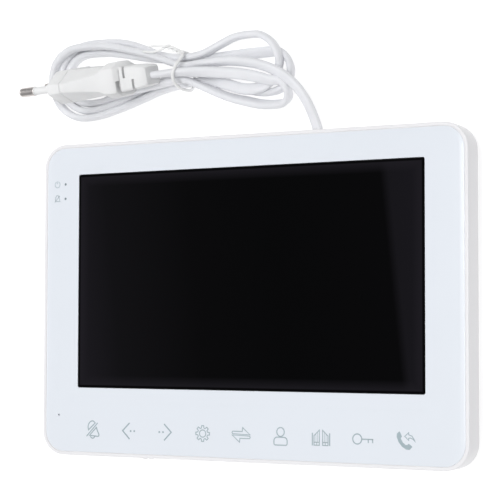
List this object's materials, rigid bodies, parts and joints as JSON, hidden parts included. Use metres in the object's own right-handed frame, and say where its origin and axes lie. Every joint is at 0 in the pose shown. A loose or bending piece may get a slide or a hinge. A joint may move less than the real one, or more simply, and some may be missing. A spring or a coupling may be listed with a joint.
{
  "type": "video intercom monitor",
  "caption": "Slim wall-mounted video intercom monitor with touch keys, steel wall bracket and a tied flat mains lead ending in a two-pin plug.",
  "frame": {"origin": "middle of the wall bracket's outer face, on the surface that the monitor lies on; the mains lead is left out of this", "axes": "+X along the long side to the viewer's right, +Y towards the top edge, +Z out of the display"},
  "size_m": [0.2005, 0.1796, 0.0355],
  "materials": {
    "housing": "white moulded ABS, satin gloss",
    "front_plate": "bluish white gloss acrylic",
    "display": "black clear-coated lens, switched off",
    "light_pipe": "smoky clear light pipe",
    "black_foam": "black closed-cell foam",
    "black_rubber": "black silicone rubber",
    "thin_steel": "thin plated sheet",
    "lcd_glass": "dark display glass",
    "light_guide": "white light guide and film",
    "circuit_board": "green solder mask",
    "power_laminate": "brown paper laminate",
    "key_copper": "gold-plated copper",
    "ribbon_film": "amber polyimide film",
    "small_metal": "zinc-plated steel",
    "wire_cover": "red wire insulation",
    "dark_plastic": "black component plastic",
    "coil_tape": "yellow winding tape and dark ferrite",
    "socket_plastic": "ivory nylon",
    "bracket_steel": "zinc-plated pressed steel",
    "lead_vinyl": "white vinyl, soft satin",
    "pin_nickel": "nickel-plated brass"
  },
  "bodies": {
    "monitor": {"front_frame": "housing", "front_panel": "front_plate", "display_window": "display", "window_gasket": "black_foam", "power_light_pipe": "light_pipe", "mute_light_pipe": "light_pipe", "lcd_bezel": "thin_steel", "lcd_glass": "lcd_glass", "lcd_backlight": "light_guide", "shield_plate": "thin_steel", "key_board": "circuit_board", "key_pads": "key_copper", "key_ribbon": "ribbon_film", "lcd_ribbon": "ribbon_film", "mic_boot": "black_rubber", "microphone": "small_metal", "mic_wires": "wire_cover", "power_switch": "dark_plastic", "main_board": "circuit_board", "processor": "dark_plastic", "board_parts": "dark_plastic", "line_socket_1": "socket_plastic", "line_socket_2": "socket_plastic", "speaker": "dark_plastic", "speaker_gasket": "black_foam", "speaker_wires": "wire_cover", "power_board": "power_laminate", "power_parts": "dark_plastic", "transformer": "coil_tape", "bulk_capacitor": "dark_plastic", "mains_fuse": "dark_plastic", "power_wires": "wire_cover", "board_screws": "small_metal", "rear_cover": "housing", "case_screws": "small_metal", "lead_sleeve": "lead_vinyl", "lead_clamp": "socket_plastic", "lead_tail": "lead_vinyl", "mains_lead": "lead_vinyl", "lead_hank": "lead_vinyl", "twist_tie": "lead_vinyl", "plug_body": "lead_vinyl", "plug_sleeves": "lead_vinyl", "plug_tips": "pin_nickel"},
    "switch_knob": {"switch_knob": "housing"},
    "wall_bracket": {"wall_bracket": "bracket_steel"}
  },
  "joints": [
    {"name": "power_switch_slide", "type": "slide", "parent": "monitor", "child": "switch_knob", "axis": [1, 0, 0], "range_m": [0, 0.002]},
    {"name": "bracket_unhook", "type": "slide", "parent": "monitor", "child": "wall_bracket", "axis": [0, -1, 0], "range_m": [0, 0.005]}
  ]
}
